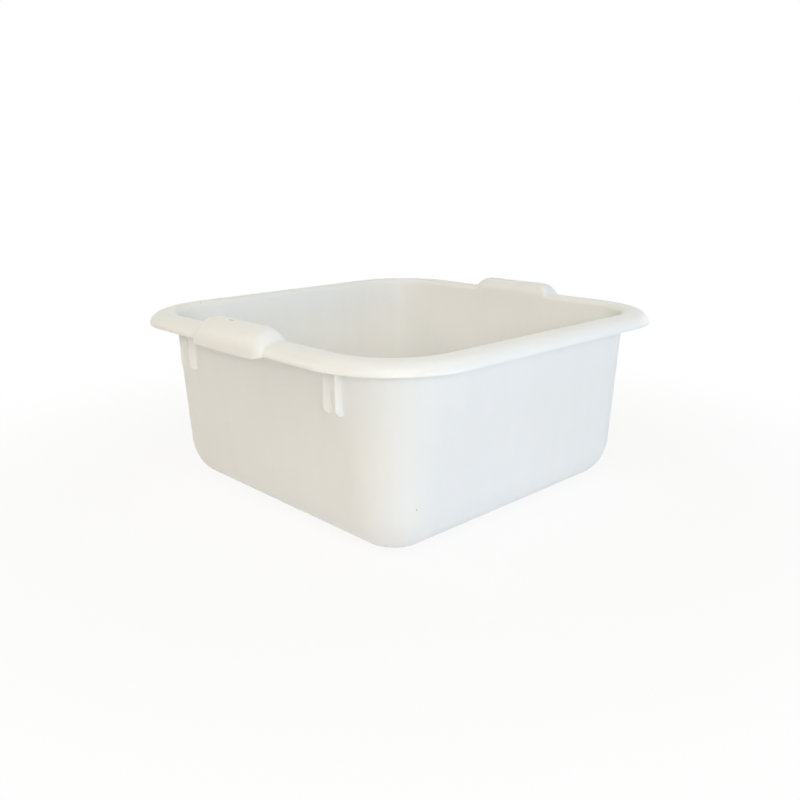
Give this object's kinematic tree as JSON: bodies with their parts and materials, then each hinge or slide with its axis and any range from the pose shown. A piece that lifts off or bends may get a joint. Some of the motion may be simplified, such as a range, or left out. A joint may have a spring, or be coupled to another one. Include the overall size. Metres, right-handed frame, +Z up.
{
  "type": "square basin",
  "caption": "Square washing basin moulded as one skin: leaning walls, round corners, turned-down rim, raised hand grips on opposite sides and short stacking ribs under the rim.",
  "frame": {"origin": "middle of the basin on the surface that its foot stands on", "axes": "+Z up out of the mouth, +X towards one grip, +Y along that grip's side"},
  "size_m": [0.361, 0.35, 0.1584],
  "materials": {
    "basin": "white polypropylene, satin, letting a little light through"
  },
  "bodies": {
    "root": {"basin": "basin"}
  },
  "joints": []
}
